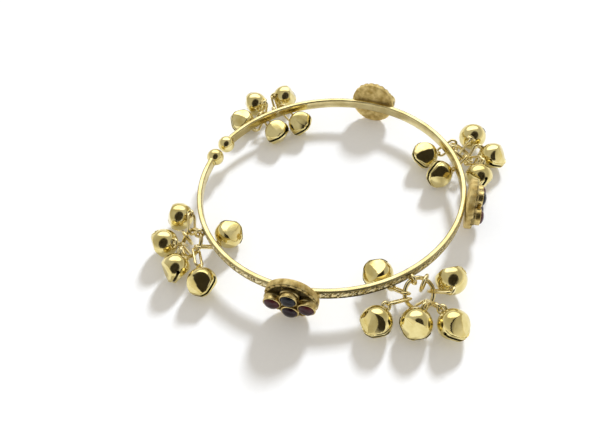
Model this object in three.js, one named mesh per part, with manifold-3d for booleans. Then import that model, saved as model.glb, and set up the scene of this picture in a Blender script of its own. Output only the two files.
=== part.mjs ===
import * as THREE from 'three';
import { mergeVertices } from 'three/addons/utils/BufferGeometryUtils.js';
import Module from 'manifold-3d';

const wasm = await Module();
wasm.setup();

// Millimetres. The hoop lies flat, its axis is along +Z and the rosette rims stand on z = 0.
// The hoop centre lies off the origin, so that the whole object's box is centred on it.
const hoopCentreX = -1.62;
const hoopCentreY = -0.19;

const wristDiameter = 60.3;
const bandThickness = 1.2;
const bandHeight = 2.4;
const bandEdgeRound = 0.45;

const openingAngle = 168;
const endBallDiameter = 4.2;
const endBallSpacing = 5.2;

const plateDiameter = 11.3;
const plateThickness = 1.6;
const plateEdgeRound = 0.4;
const solderGap = 0.3;
const rosetteAngles = [270, 0, 82];

const bezelDiameter = 3.8;
const bezelHeight = 1.5;
const bezelWall = 0.25;
const bezelFloor = 0.2;
const stoneClearance = 0.12;
const stoneDome = 0.75;
const stoneShoulder = 0.5;
const stoneShoulderRise = 0.45;
const sideStoneReach = 3.6;
const upperStoneReach = 2.0;

const wireDiameter = 0.62;
const ringDiameter = 7.2;
const ringWire = 0.8;
const hangerDiameter = 2.6;
const hangerReach = 0.85;
const hangerDrop = 0.3;
const ringTilt = 40;

const bellDiameter = 6.6;
const bellWall = 0.45;
const cheekTilt = 34;
const cheekDepth = 0.83;
const slitWidth = 0.9;
const slitTop = 0.35;
const shankDiameter = 2.2;
const shankReach = 0.4;
const linkLength = 5.8;
const linkWidth = 2.5;
const ringPlay = 0.3;
const linkSeat = 0.5;
const floorGap = 0.05;
const pelletDiameter = 1.8;
const pelletClearance = 0.07;

// Facets around and along the round pieces.
const bandSegments = 54;
const plateSides = 24;
const cupSides = 10;
const ballFacets = [12, 8];
const wireSides = 5;
const ringSteps = 18;
const linkSteps = 10;
const shankSteps = 6;
const bellFacets = [10, 6];
const cavityFacets = [8, 5];
const pelletFacets = [6, 5];

// Each bell: its place outward and along the band from the hanger, in bell diameters, then in degrees
// the point of the ring that its link hangs on, the fold of the chain at the shank and the slit's turn.
const clusters = [
  {
    name: 'a',
    angle: 131,
    bells: [
      { out: 0.58, along: 1.30, hang: 88, fold: 139, turn: 20 },
      { out: 1.39, along: 0.39, hang: 45, fold: 332, turn: 70 },
      { out: 1.14, along: -0.91, hang: -43, fold: 32, turn: -35 },
      { out: -0.80, along: 0.33, hang: 119, fold: 177, turn: -20 },
      { out: -0.80, along: -0.72, hang: -115, fold: 167, turn: -30 },
    ],
  },
  {
    name: 'b',
    angle: 33,
    bells: [
      { out: 1.31, along: 0.64, hang: 45, fold: 338, turn: 40 },
      { out: 0.45, along: -1.38, hang: -87, fold: 36, turn: -60 },
      { out: 1.45, along: -0.62, hang: -45, fold: 44, turn: 15 },
      { out: -0.78, along: -0.70, hang: -118, fold: 173, turn: 75 },
      { out: -0.81, along: 0.39, hang: 117, fold: 187, turn: 25 },
    ],
  },
  {
    name: 'c',
    angle: 315,
    bells: [
      { out: 0.62, along: -1.66, hang: -95, fold: 305, turn: -5 },
      { out: 1.30, along: -0.72, hang: -37, fold: 27, turn: 10 },
      { out: 1.92, along: 0.17, hang: 26, fold: 354, turn: 20 },
      { out: 0.62, along: 1.14, hang: 72, fold: 299, turn: 40 },
      { out: -0.78, along: -0.64, hang: -120, fold: 190, turn: 30 },
    ],
  },
  {
    name: 'd',
    angle: 219,
    bells: [
      { out: 0.56, along: -1.38, hang: -114, fold: 308, turn: 30 },
      { out: 1.38, along: -0.44, hang: -34, fold: 34, turn: 80 },
      { out: 1.30, along: 0.78, hang: 34, fold: 358, turn: -50 },
      { out: 0.67, along: 1.77, hang: 94, fold: 54, turn: -25 },
      { out: -0.78, along: 0.23, hang: 121, fold: 189, turn: -40 },
    ],
  },
];

const wristRadius = wristDiameter / 2;
const outerRadius = wristRadius + bandThickness;
const bandRadius = wristRadius + bandThickness / 2;
const standHeight = plateDiameter / 2;
const bellRadius = bellDiameter / 2;
const ringRadius = (ringDiameter - ringWire) / 2;
const hangerRadius = (hangerDiameter - wireDiameter) / 2;
const shankRadius = (shankDiameter - wireDiameter) / 2;
const linkRadius = (linkWidth - wireDiameter) / 2;
const linkStretch = (linkLength - linkWidth) / 2;
const linkBehindRing = ringWire / 2 + wireDiameter / 2 + ringPlay;
const linkReach = linkLength - wireDiameter - linkBehindRing;
const neckReach = bellRadius + shankReach + linkSeat;
const bellCentreHeight = bellRadius + floorGap - standHeight;
const cheekReach = bellRadius - cheekDepth;
const pelletDrop = cheekReach - bellWall - pelletDiameter / 2 - pelletClearance;
const up = new THREE.Vector3(0, 0, 1);

const gold = new THREE.MeshStandardMaterial({ color: 0xd9bf6a, metalness: 1, roughness: 0.22 });
const satinGold = new THREE.MeshStandardMaterial({ color: 0xcdb261, metalness: 1, roughness: 0.35 });
const antiqueGold = new THREE.MeshStandardMaterial({ color: 0x9a7a38, metalness: 1, roughness: 0.5 });
const steel = new THREE.MeshStandardMaterial({ color: 0x77787a, metalness: 1, roughness: 0.4 });
const ruby = new THREE.MeshStandardMaterial({ color: 0x6d1027, metalness: 0, roughness: 0.12 });
const teal = new THREE.MeshStandardMaterial({ color: 0x10343c, metalness: 0, roughness: 0.12 });
const plum = new THREE.MeshStandardMaterial({ color: 0x2c1233, metalness: 0, roughness: 0.12 });

function solidOf(geometry) {
  const bare = new THREE.BufferGeometry();
  bare.setAttribute('position', geometry.getAttribute('position'));
  bare.setIndex(geometry.getIndex());
  const merged = mergeVertices(bare, 1e-4);
  const mesh = new wasm.Mesh({
    numProp: 3,
    vertProperties: new Float32Array(merged.getAttribute('position').array),
    triVerts: new Uint32Array(merged.getIndex().array),
  });
  mesh.merge();
  return new wasm.Manifold(mesh);
}

function geometryOf(solid) {
  const mesh = solid.getMesh();
  const geometry = new THREE.BufferGeometry();
  geometry.setAttribute('position', new THREE.BufferAttribute(new Float32Array(mesh.vertProperties), 3));
  geometry.setIndex(new THREE.BufferAttribute(new Uint32Array(mesh.triVerts), 1));
  geometry.computeVertexNormals();
  return geometry;
}

function namedMesh(name, geometry, material) {
  const mesh = new THREE.Mesh(geometry, material.clone());
  mesh.name = name;
  return mesh;
}

function radians(degrees) {
  return THREE.MathUtils.degToRad(degrees);
}

function frameGroup(name, angle, radius, height) {
  const group = new THREE.Group();
  group.name = name;
  group.position.set(radius * Math.cos(radians(angle)), radius * Math.sin(radians(angle)), height);
  group.rotation.z = radians(angle);
  return group;
}

// A flat closed band profile, turned about the hoop axis.
function bandRing() {
  const half = bandHeight / 2;
  const corner = half - bandEdgeRound;
  const points = [
    new THREE.Vector2(wristRadius, -corner),
    new THREE.Vector2(wristRadius + bandEdgeRound, -half),
    new THREE.Vector2(outerRadius - bandEdgeRound, -half),
    new THREE.Vector2(outerRadius, -corner),
    new THREE.Vector2(outerRadius, corner),
    new THREE.Vector2(outerRadius - bandEdgeRound, half),
    new THREE.Vector2(wristRadius + bandEdgeRound, half),
    new THREE.Vector2(wristRadius, corner),
    new THREE.Vector2(wristRadius, -corner),
  ];
  const geometry = new THREE.LatheGeometry(points, bandSegments);
  geometry.rotateX(Math.PI / 2);
  return solidOf(geometry);
}

// The open hoop with a ball on each end and four wire hangers on its outer face.
function bandGeometry() {
  const cut = new THREE.BoxGeometry(2 * endBallDiameter, endBallSpacing, 2 * bandHeight);
  cut.translate(bandRadius, 0, 0);
  cut.rotateZ(radians(openingAngle));
  let solid = bandRing().subtract(solidOf(cut));
  const ballTurn = Math.asin(endBallSpacing / 2 / bandRadius);
  for (const side of [-1, 1]) {
    const ball = new THREE.SphereGeometry(endBallDiameter / 2, ...ballFacets);
    ball.translate(bandRadius, 0, 0);
    ball.rotateZ(radians(openingAngle) + side * ballTurn);
    solid = solid.add(solidOf(ball));
  }
  for (const cluster of clusters) {
    const hanger = new THREE.TorusGeometry(hangerRadius, wireDiameter / 2, wireSides, linkSteps);
    hanger.rotateX(Math.PI / 2);
    hanger.translate(outerRadius + hangerReach, 0, -hangerDrop);
    hanger.rotateZ(radians(cluster.angle));
    solid = solid.add(solidOf(hanger));
  }
  return geometryOf(solid);
}

function turned(points, sides) {
  const geometry = new THREE.LatheGeometry(points, sides);
  geometry.rotateX(Math.PI / 2);
  geometry.rotateZ(Math.PI / sides);
  return geometry;
}

// Round plate standing on one flat of its rim, with four stone cups on the front.
// Drawn lying down, front at +Z, then stood up to face outward along +X.
function plateGeometry() {
  const radius = plateDiameter / 2 / Math.cos(Math.PI / plateSides);
  const plate = turned([
    new THREE.Vector2(0, 0),
    new THREE.Vector2(radius - plateEdgeRound, 0),
    new THREE.Vector2(radius, plateEdgeRound),
    new THREE.Vector2(radius, plateThickness - plateEdgeRound),
    new THREE.Vector2(radius - plateEdgeRound, plateThickness),
    new THREE.Vector2(0, plateThickness),
  ], plateSides);
  let solid = solidOf(plate);
  const outer = bezelDiameter / 2;
  const inner = outer - bezelWall;
  const top = plateThickness + bezelHeight;
  const base = plateThickness + bezelFloor;
  for (const [y, z] of stonePlaces) {
    const cup = turned([
      new THREE.Vector2(0, plateThickness / 2),
      new THREE.Vector2(outer, plateThickness / 2),
      new THREE.Vector2(outer, top),
      new THREE.Vector2(inner, top),
      new THREE.Vector2(inner, base),
      new THREE.Vector2(0, base),
    ], cupSides);
    cup.translate(-z, y, 0);
    solid = solid.add(solidOf(cup));
  }
  const geometry = geometryOf(solid);
  geometry.rotateY(Math.PI / 2);
  return geometry;
}

const stonePlaces = [
  [-sideStoneReach, 0],
  [0, upperStoneReach],
  [sideStoneReach, 0],
  [0, -upperStoneReach],
];

function stoneGeometry(place) {
  const radius = bezelDiameter / 2 - bezelWall - stoneClearance;
  const base = plateThickness + bezelFloor + stoneClearance;
  const girdle = plateThickness + bezelHeight;
  const stone = turned([
    new THREE.Vector2(0, base),
    new THREE.Vector2(radius, base),
    new THREE.Vector2(radius, girdle),
    new THREE.Vector2(radius - stoneShoulder, girdle + stoneShoulderRise),
    new THREE.Vector2(0, girdle + stoneDome),
  ], cupSides);
  stone.translate(-place[1], place[0], 0);
  stone.rotateY(Math.PI / 2);
  return stone;
}

function rosette(index) {
  const back = outerRadius + solderGap;
  const group = frameGroup(`rosette_${index + 1}`, rosetteAngles[index], back, standHeight);
  group.add(namedMesh(`plate_${index + 1}`, plateGeometry(), antiqueGold));
  const glass = [ruby, teal, ruby, plum];
  const words = ['left', 'upper', 'right', 'lower'];
  stonePlaces.forEach((place, i) => {
    group.add(namedMesh(`stone_${index + 1}_${words[i]}`, stoneGeometry(place), glass[i]));
  });
  return group;
}

// A ball whose lower half is pressed to two flat cheeks, so that it narrows to lips along X.
function cheeked(radius, reach, facets) {
  const tilt = radians(cheekTilt);
  const ball = new THREE.SphereGeometry(radius, ...facets).rotateX(Math.PI / 2);
  return [-1, 1].reduce(
    (solid, side) => solid.trimByPlane([0, side * Math.cos(tilt), Math.sin(tilt)], -reach),
    solidOf(ball),
  );
}

function bellShell() {
  const slit = new THREE.BoxGeometry(2 * bellDiameter, slitWidth, bellDiameter);
  slit.translate(0, 0, -slitTop - bellRadius);
  const outside = cheeked(bellRadius, cheekReach, bellFacets);
  const cavity = cheeked(bellRadius - bellWall, cheekReach - bellWall, cavityFacets);
  return outside.subtract(cavity).subtract(solidOf(slit));
}

const shellSolid = bellShell();

function matrixOf(x, y, z, origin) {
  return new THREE.Matrix4().makeBasis(x, y, z).setPosition(origin);
}

function across(vector, axis) {
  return vector.clone().addScaledVector(axis, -vector.dot(axis)).normalize();
}

// The chain from the ring to one bell, in the hanger frame: ring point, link and bell directions.
function chainOf(cluster, bell) {
  const tilt = radians(ringTilt);
  const slope = new THREE.Vector3(Math.cos(tilt), 0, -Math.sin(tilt));
  const side = new THREE.Vector3(0, 1, 0);
  const turn = radians(bell.hang);
  const hook = new THREE.Vector3(hangerReach, 0, -hangerDrop);
  hook.addScaledVector(slope, ringRadius * (1 + Math.cos(turn)));
  hook.addScaledVector(side, ringRadius * Math.sin(turn));
  const wireAlong = slope.clone().multiplyScalar(-Math.sin(turn)).addScaledVector(side, Math.cos(turn));
  const target = new THREE.Vector3(bell.out * bellDiameter, bell.along * bellDiameter, bellCentreHeight);
  const span = target.clone().sub(hook);
  const reach = Math.min(span.length(), linkReach + neckReach);
  span.normalize();
  const straight = (reach * reach + linkReach * linkReach - neckReach * neckReach) / (2 * reach);
  const sag = Math.sqrt(Math.max(0, linkReach * linkReach - straight * straight));
  const level = new THREE.Vector3().crossVectors(up, span).normalize();
  const rise = new THREE.Vector3().crossVectors(span, level);
  const fold = radians(bell.fold);
  const bend = rise.multiplyScalar(Math.cos(fold)).addScaledVector(level, Math.sin(fold));
  const elbow = hook.clone().addScaledVector(span, straight).addScaledVector(bend, sag);
  const centre = hook.clone().addScaledVector(span, reach);
  const linkWay = elbow.clone().sub(hook).normalize();
  const bellWay = centre.clone().sub(elbow).normalize();
  return { hook, wireAlong, linkWay, bellWay, centre };
}

function linkMatrix(chain) {
  const normal = across(chain.wireAlong, chain.linkWay);
  const width = new THREE.Vector3().crossVectors(normal, chain.linkWay);
  const middle = chain.linkWay.clone().multiplyScalar((linkReach - linkBehindRing) / 2);
  return matrixOf(chain.linkWay, width, normal, middle);
}

function linkGeometry() {
  const link = new THREE.TorusGeometry(linkRadius, wireDiameter / 2, wireSides, linkSteps);
  const position = link.getAttribute('position');
  for (let i = 0; i < position.count; i += 1) {
    const end = position.getX(i) > 1e-6 ? 1 : -1;
    position.setX(i, position.getX(i) + end * linkStretch);
  }
  return link;
}

// Shell, shank and link as one piece, drawn about the ring point.
function bellGeometry(chain, bell) {
  const bellUp = chain.bellWay.clone().negate();
  const level = new THREE.Vector3().crossVectors(up, bellUp).normalize();
  const lips = level.applyAxisAngle(bellUp, radians(bell.turn));
  const face = new THREE.Vector3().crossVectors(bellUp, lips);
  const centre = chain.centre.clone().sub(chain.hook);
  const shell = shellSolid.transform(matrixOf(lips, face, bellUp, centre).toArray());
  const linkPlace = linkMatrix(chain);
  const link = linkGeometry().applyMatrix4(linkPlace);
  const linkWidthWay = new THREE.Vector3().setFromMatrixColumn(linkPlace, 1);
  const pin = across(linkWidthWay, bellUp);
  const shank = new THREE.TorusGeometry(shankRadius, wireDiameter / 2, wireSides, shankSteps);
  const shankAt = centre.clone().addScaledVector(bellUp, bellRadius + shankReach);
  shank.applyMatrix4(matrixOf(bellUp, new THREE.Vector3().crossVectors(pin, bellUp), pin, shankAt));
  return geometryOf(shell.add(solidOf(shank)).add(solidOf(link)));
}

// One swinging bell with its loose pellet. The group turns about its own Y axis.
function bellGroup(cluster, index) {
  const bell = cluster.bells[index];
  const key = `${cluster.name}${index + 1}`;
  const chain = chainOf(cluster, bell);
  const heading = Math.atan2(chain.linkWay.y, chain.linkWay.x);
  const pivot = new THREE.Group();
  pivot.name = `bell_${key}_pivot`;
  pivot.position.set(chain.hook.x - hangerReach, chain.hook.y, chain.hook.z + hangerDrop);
  pivot.rotation.z = heading;
  const shape = bellGeometry(chain, bell).rotateZ(-heading);
  pivot.add(namedMesh(`bell_${key}`, shape, gold));
  const seat = chain.centre.clone().sub(chain.hook).applyAxisAngle(up, -heading);
  const shot = new THREE.SphereGeometry(pelletDiameter / 2, ...pelletFacets);
  const pellet = namedMesh(`pellet_${key}`, shot, steel);
  pellet.position.copy(seat).setZ(seat.z - pelletDrop);
  pivot.add(pellet);
  return pivot;
}

// A ring on its hanger with five bells. The group turns about its own Y axis, along the band.
function clusterGroup(cluster) {
  const height = standHeight - hangerDrop;
  const pivot = frameGroup(`ring_${cluster.name}_pivot`, cluster.angle, outerRadius + hangerReach, height);
  const ring = new THREE.TorusGeometry(ringRadius, ringWire / 2, wireSides, ringSteps);
  ring.translate(ringRadius, 0, 0);
  ring.rotateY(radians(ringTilt));
  pivot.add(namedMesh(`ring_${cluster.name}`, ring, satinGold));
  cluster.bells.forEach((bell, index) => pivot.add(bellGroup(cluster, index)));
  return pivot;
}

const bangle = new THREE.Group();
bangle.name = 'ghungroo_bangle';
bangle.position.set(hoopCentreX, hoopCentreY, 0);
const band = namedMesh('band', bandGeometry(), satinGold);
band.position.z = standHeight;
bangle.add(band);
rosetteAngles.forEach((angle, index) => bangle.add(rosette(index)));
clusters.forEach((cluster) => bangle.add(clusterGroup(cluster)));

export default bangle;
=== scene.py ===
import math

import bmesh
import bpy
from mathutils import Matrix, Vector


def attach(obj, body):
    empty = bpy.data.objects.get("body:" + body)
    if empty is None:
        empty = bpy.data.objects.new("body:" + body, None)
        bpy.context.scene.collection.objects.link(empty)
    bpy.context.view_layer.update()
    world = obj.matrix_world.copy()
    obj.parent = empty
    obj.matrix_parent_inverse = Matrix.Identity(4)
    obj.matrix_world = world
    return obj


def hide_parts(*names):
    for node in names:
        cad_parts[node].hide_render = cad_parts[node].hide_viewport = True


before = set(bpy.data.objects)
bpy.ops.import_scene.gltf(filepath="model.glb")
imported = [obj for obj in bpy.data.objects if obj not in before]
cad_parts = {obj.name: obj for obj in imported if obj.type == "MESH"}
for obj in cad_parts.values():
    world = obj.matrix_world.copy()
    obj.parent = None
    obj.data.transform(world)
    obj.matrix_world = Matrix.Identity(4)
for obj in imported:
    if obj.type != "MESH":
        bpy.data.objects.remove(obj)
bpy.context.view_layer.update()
mm = 0.001  # pieces are modelled in millimetres and scaled when they are placed
print("frame loaded,", len(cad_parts), "nodes")


# handling pieces

def clearPick():
    bpy.ops.object.select_all(action="DESELECT")


def only(piece):
    clearPick()
    piece.select_set(True)
    bpy.context.view_layer.objects.active = piece


def pickAll():
    bpy.ops.mesh.select_all(action="SELECT")


def startEdit(name):
    piece = bpy.context.object
    piece.name = name
    piece.data.name = name
    bpy.ops.object.mode_set(mode="EDIT")
    pickAll()
    return piece


def endEdit():
    bpy.ops.object.mode_set(mode="OBJECT")


def startPick(kind):
    bpy.ops.mesh.select_mode(type=kind)
    bpy.ops.mesh.select_all(action="DESELECT")
    mesh = bpy.context.edit_object.data
    return mesh, bmesh.from_edit_mesh(mesh)


def pickFaces(test):
    mesh, shape = startPick("FACE")
    for face in shape.faces:
        if test(face.calc_center_median(), face.normal):
            face.select_set(True)
    bmesh.update_edit_mesh(mesh)


def pickPoints(test):
    mesh, shape = startPick("VERT")
    for point in shape.verts:
        if test(point.co):
            point.select_set(True)
    shape.select_flush_mode()
    bmesh.update_edit_mesh(mesh)


def pickEdges(test):
    mesh, shape = startPick("EDGE")
    for edge in shape.edges:
        if test(edge.verts[0].co, edge.verts[1].co):
            edge.select_set(True)
    bmesh.update_edit_mesh(mesh)


def grow(x, y, z):
    bpy.ops.transform.resize(value=(x, y, z), center_override=(0, 0, 0))


def shift(x, y, z):
    bpy.ops.transform.translate(value=(x, y, z))


def flatten(share, height):
    bpy.ops.transform.resize(value=(1, 1, share), center_override=(0, 0, height))


def raisePicked(height):
    bpy.ops.mesh.extrude_region_move(TRANSFORM_OT_translate={"value": (0, 0, height)})


def sliceLevel(height, **values):
    bpy.ops.mesh.bisect(plane_co=(0, 0, height), plane_no=(0, 0, 1), **values)


def outward():
    pickAll()
    bpy.ops.mesh.remove_doubles(threshold=0.0005)
    bpy.ops.mesh.normals_make_consistent(inside=False)


def smooth(piece, degrees):
    only(piece)
    bpy.ops.object.shade_smooth_by_angle(angle=math.radians(degrees))


def addModifier(piece, kind, **values):
    only(piece)
    modifier = piece.modifiers.new(kind.title(), kind)
    for key, value in values.items():
        setattr(modifier, key, value)
    bpy.ops.object.modifier_apply(modifier=modifier.name)


def copyOf(pattern, name):
    piece = pattern.copy()
    piece.data = pattern.data.copy()
    piece.name = name
    piece.data.name = name
    bpy.context.scene.collection.objects.link(piece)
    return piece


def joined(pieces, name):
    clearPick()
    for piece in pieces:
        piece.select_set(True)
    bpy.context.view_layer.objects.active = pieces[0]
    bpy.ops.object.join()
    pieces[0].name = name
    pieces[0].data.name = name
    return pieces[0]


def applyPlace():
    bpy.ops.object.transform_apply(location=True, rotation=True, scale=True)


def settle(piece, where):  # puts the place into the mesh, still in millimetres
    piece.matrix_world = where
    only(piece)
    applyPlace()


def place(piece, where):  # and this one in metres, in the frame
    settle(piece, Matrix.Scale(mm, 4) @ where)


def markPatinaShadeGlow(piece, depthAt):  # 0 on high metal, 1 at full patina, dirt and painted shade; on the stones, the share of painted glow
    mark = piece.data.attributes.new("patinaShadeGlow", "FLOAT", "POINT")
    for point, value in zip(piece.data.vertices, mark.data):
        value.value = depthAt(point.co)


def drop(*patterns):
    for pattern in patterns:
        bpy.data.objects.remove(pattern)


def dress(piece, look, body, slot, *nodes):
    piece.data.materials.clear()
    piece.data.materials.append(look)
    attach(piece, body)
    if nodes:
        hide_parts(*nodes)


def clamp(value):
    return max(0.0, min(1.0, value))


# where things are, as in the part's source, in millimetres

hoop = {"x": -1.62, "y": -0.19, "height": 5.65, "inner": 30.15, "outer": 31.35, "opening": 168}
hoopPlace = Matrix.Translation((hoop["x"], hoop["y"], hoop["height"]))
up = Vector((0, 0, 1))


def turnZ(degrees):
    return Matrix.Rotation(math.radians(degrees), 4, "Z")


def turnY(degrees):
    return Matrix.Rotation(math.radians(degrees), 4, "Y")


def stationAt(angle, radius):  # X outward, Y along the band, Z up
    return hoopPlace @ turnZ(angle) @ Matrix.Translation((radius, 0, 0))


def basis(x, y, z, origin):
    return Matrix((
        (x.x, y.x, z.x, origin.x),
        (x.y, y.y, z.y, origin.y),
        (x.z, y.z, z.z, origin.z),
        (0, 0, 0, 1),
    ))


# finishes

def newGroup(name, inputs, outputs):
    tree = bpy.data.node_groups.new(name, "ShaderNodeTree")
    for label, kind, value in inputs:
        socket = tree.interface.new_socket(name=label, in_out="INPUT", socket_type="NodeSocket" + kind)
        if value is not None:
            socket.default_value = value
    for label, kind in outputs:
        tree.interface.new_socket(name=label, in_out="OUTPUT", socket_type="NodeSocket" + kind)
    return tree, tree.nodes.new("NodeGroupInput").outputs, tree.nodes.new("NodeGroupOutput").inputs


def node(tree, kind, **values):
    made = tree.nodes.new("ShaderNode" + kind)
    for key, value in values.items():
        setattr(made, key, value)
    return made


def wire(tree, source, target):
    tree.links.new(source, target)


def feed(tree, socket, value):  # a number or colour is set, and another node's output is wired
    if isinstance(value, (int, float, tuple)):
        socket.default_value = value
    else:
        wire(tree, value, socket)


def maths(tree, operation, first, second=None, clip=False):
    made = node(tree, "Math", operation=operation, use_clamp=clip)
    for index, value in enumerate((first, second)):
        if value is not None:
            feed(tree, made.inputs[index], value)
    return made.outputs[0]


def mixColour(tree, share, first, second):
    made = node(tree, "Mix", data_type="RGBA")
    wire(tree, share, made.inputs["Factor"])
    feed(tree, made.inputs[6], first)
    feed(tree, made.inputs[7], second)
    return made.outputs[2]


def noiseOf(tree, vector, scale, detail, rough=0.5):
    made = node(tree, "TexNoise")
    wire(tree, vector, made.inputs["Vector"])
    feed(tree, made.inputs["Scale"], scale)
    made.inputs["Detail"].default_value = detail
    made.inputs["Roughness"].default_value = rough
    return made.outputs["Fac"]


def spread(tree, value, low, high, toLow, toHigh):
    made = node(tree, "MapRange")
    wire(tree, value, made.inputs["Value"])
    for label, number in (("From Min", low), ("From Max", high), ("To Min", toLow), ("To Max", toHigh)):
        feed(tree, made.inputs[label], number)
    return made.outputs["Result"]


goldWear = {"cloudDetail": 3, "finer": 7, "fineDetail": 4, "fineRough": 0.6, "toneBand": (0.35, 0.68),
            "darkBand": (0.3, 0.7), "darkShare": (0.55, 1.25), "smudgeBand": (0.4, 0.75),
            "darkRough": 0.4, "cloudRelief": 0.6}


# gold with cloudy tone, small smudges in its polish, and a dark colour where the mark asks for it: patina in
# hollows, painted shade on some pieces
def goldToneGroup():
    tree, given, result = newGroup("goldTone", [
        ("Vector", "Vector", None),
        ("Bright", "Color", (0.8, 0.65, 0.3, 1)),
        ("Deep", "Color", (0.6, 0.45, 0.15, 1)),
        ("PatinaShade", "Color", (0.05, 0.03, 0.01, 1)),
        ("DarkMark", "Float", 0),
        ("Grain", "Float", 400),
        ("Polish", "Float", 0.1),
        ("Smudge", "Float", 0.1),
    ], [("Color", "Color"), ("Roughness", "Float"), ("Height", "Float")])
    cloud = noiseOf(tree, given["Vector"], given["Grain"], goldWear["cloudDetail"])
    fineScale = maths(tree, "MULTIPLY", given["Grain"], goldWear["finer"])
    fine = noiseOf(tree, given["Vector"], fineScale, goldWear["fineDetail"], goldWear["fineRough"])
    tone = spread(tree, cloud, *goldWear["toneBand"], 0, 1)
    metal = mixColour(tree, tone, given["Bright"], given["Deep"])
    uneven = spread(tree, fine, *goldWear["darkBand"], *goldWear["darkShare"])
    darkening = maths(tree, "MULTIPLY", uneven, given["DarkMark"], True)
    colour = mixColour(tree, darkening, metal, given["PatinaShade"])
    smudged = maths(tree, "MULTIPLY", spread(tree, cloud, *goldWear["smudgeBand"], 0, 1), given["Smudge"])
    rough = maths(tree, "ADD", smudged, given["Polish"])
    dull = maths(tree, "MULTIPLY", darkening, goldWear["darkRough"])
    relief = maths(tree, "MULTIPLY", cloud, goldWear["cloudRelief"])
    wire(tree, colour, result["Color"])
    wire(tree, maths(tree, "ADD", rough, dull, True), result["Roughness"])
    wire(tree, maths(tree, "ADD", fine, relief), result["Height"])
    return tree


brushing = {"alongHoop": 0.0012, "detail": 3, "rough": 0.65}


# fine lines that run round the hoop, from rubbing it bright
def hoopLinesGroup():
    tree, given, result = newGroup("hoopLines", [
        ("Vector", "Vector", None),
        ("Fineness", "Float", 9000),
    ], [("Lines", "Float")])
    centred = node(tree, "VectorMath", operation="SUBTRACT")
    centred.inputs[1].default_value = (hoop["x"] * mm, hoop["y"] * mm, 0)
    wire(tree, given["Vector"], centred.inputs[0])
    apart = node(tree, "SeparateXYZ")
    wire(tree, centred.outputs[0], apart.inputs[0])
    around = maths(tree, "ARCTAN2", apart.outputs["Y"], apart.outputs["X"])
    squareX, squareY = (maths(tree, "POWER", apart.outputs[way], 2) for way in ("X", "Y"))
    distance = maths(tree, "SQRT", maths(tree, "ADD", squareX, squareY))
    run = node(tree, "CombineXYZ")
    wire(tree, maths(tree, "MULTIPLY", around, brushing["alongHoop"]), run.inputs["X"])
    wire(tree, apart.outputs["Z"], run.inputs["Y"])
    wire(tree, distance, run.inputs["Z"])
    lines = noiseOf(tree, run.outputs[0], given["Fineness"], brushing["detail"], brushing["rough"])
    wire(tree, lines, result["Lines"])
    return tree


swirls = {"scale": 900, "detail": 2, "band": (0.3, 0.7), "share": (0.55, 1.15)}


# coloured glass, dark in the middle, with a painted glow of light through the glass that pales it towards the
# rim, and faint swirls
def stonePaintedGlowGroup():
    tree, given, result = newGroup("stonePaintedGlow", [
        ("Vector", "Vector", None),
        ("Depth", "Float", 0),
        ("Heart", "Color", (0.02, 0, 0, 1)),
        ("Glow", "Color", (0.3, 0.02, 0.03, 1)),
    ], [("Color", "Color"), ("Height", "Float")])
    swirl = noiseOf(tree, given["Vector"], swirls["scale"], swirls["detail"])
    uneven = spread(tree, swirl, *swirls["band"], *swirls["share"])
    share = maths(tree, "MULTIPLY", given["Depth"], uneven, True)
    wire(tree, mixColour(tree, share, given["Heart"], given["Glow"]), result["Color"])
    wire(tree, swirl, result["Height"])
    return tree


goldTone = goldToneGroup()
hoopLines = hoopLinesGroup()
stonePaintedGlow = stonePaintedGlowGroup()


def newLook(name):
    look = bpy.data.materials.new(name)
    look.use_nodes = True
    tree = look.node_tree
    return look, tree, tree.nodes["Principled BSDF"].inputs


def rgb(red, green, blue):  # from 0 to 255 as seen on a screen
    parts = []
    for value in (red / 255, green / 255, blue / 255):
        parts.append(value / 12.92 if value < 0.04045 else ((value + 0.055) / 1.055) ** 2.4)
    return (*parts, 1)


def bumpInto(tree, height, shader, distance, strength):
    bump = node(tree, "Bump")
    bump.inputs["Distance"].default_value = distance * mm
    bump.inputs["Strength"].default_value = strength
    wire(tree, height, bump.inputs["Height"])
    wire(tree, bump.outputs["Normal"], shader["Normal"])


def goldLook(name, values, lines=None):
    look, tree, shader = newLook(name)
    onPiece = node(tree, "TexCoord").outputs["Object"]
    tone = node(tree, "Group", node_tree=goldTone)
    wire(tree, onPiece, tone.inputs["Vector"])
    wire(tree, node(tree, "Attribute", attribute_name="patinaShadeGlow").outputs["Fac"], tone.inputs["DarkMark"])
    for label in ("Bright", "Deep", "PatinaShade", "Grain", "Polish", "Smudge"):
        tone.inputs[label].default_value = values[label.lower()]
    wire(tree, tone.outputs["Color"], shader["Base Color"])
    shader["Metallic"].default_value = 1
    height, rough = tone.outputs["Height"], tone.outputs["Roughness"]
    if lines:
        brushed = node(tree, "Group", node_tree=hoopLines)
        wire(tree, onPiece, brushed.inputs["Vector"])
        brushed.inputs["Fineness"].default_value = lines["fineness"]
        height = maths(tree, "ADD", brushed.outputs["Lines"], maths(tree, "MULTIPLY", height, lines["cloud"]))
        scratches = maths(tree, "MULTIPLY", brushed.outputs["Lines"], lines["rough"])
        rough = maths(tree, "ADD", rough, scratches, True)
    wire(tree, rough, shader["Roughness"])
    bumpInto(tree, height, shader, values["bump"], values["strength"])
    return look


glassFinish = {"rough": 0.07, "ior": 1.5, "specular": 0.3, "bump": 0.05, "strength": 0.25}


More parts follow.
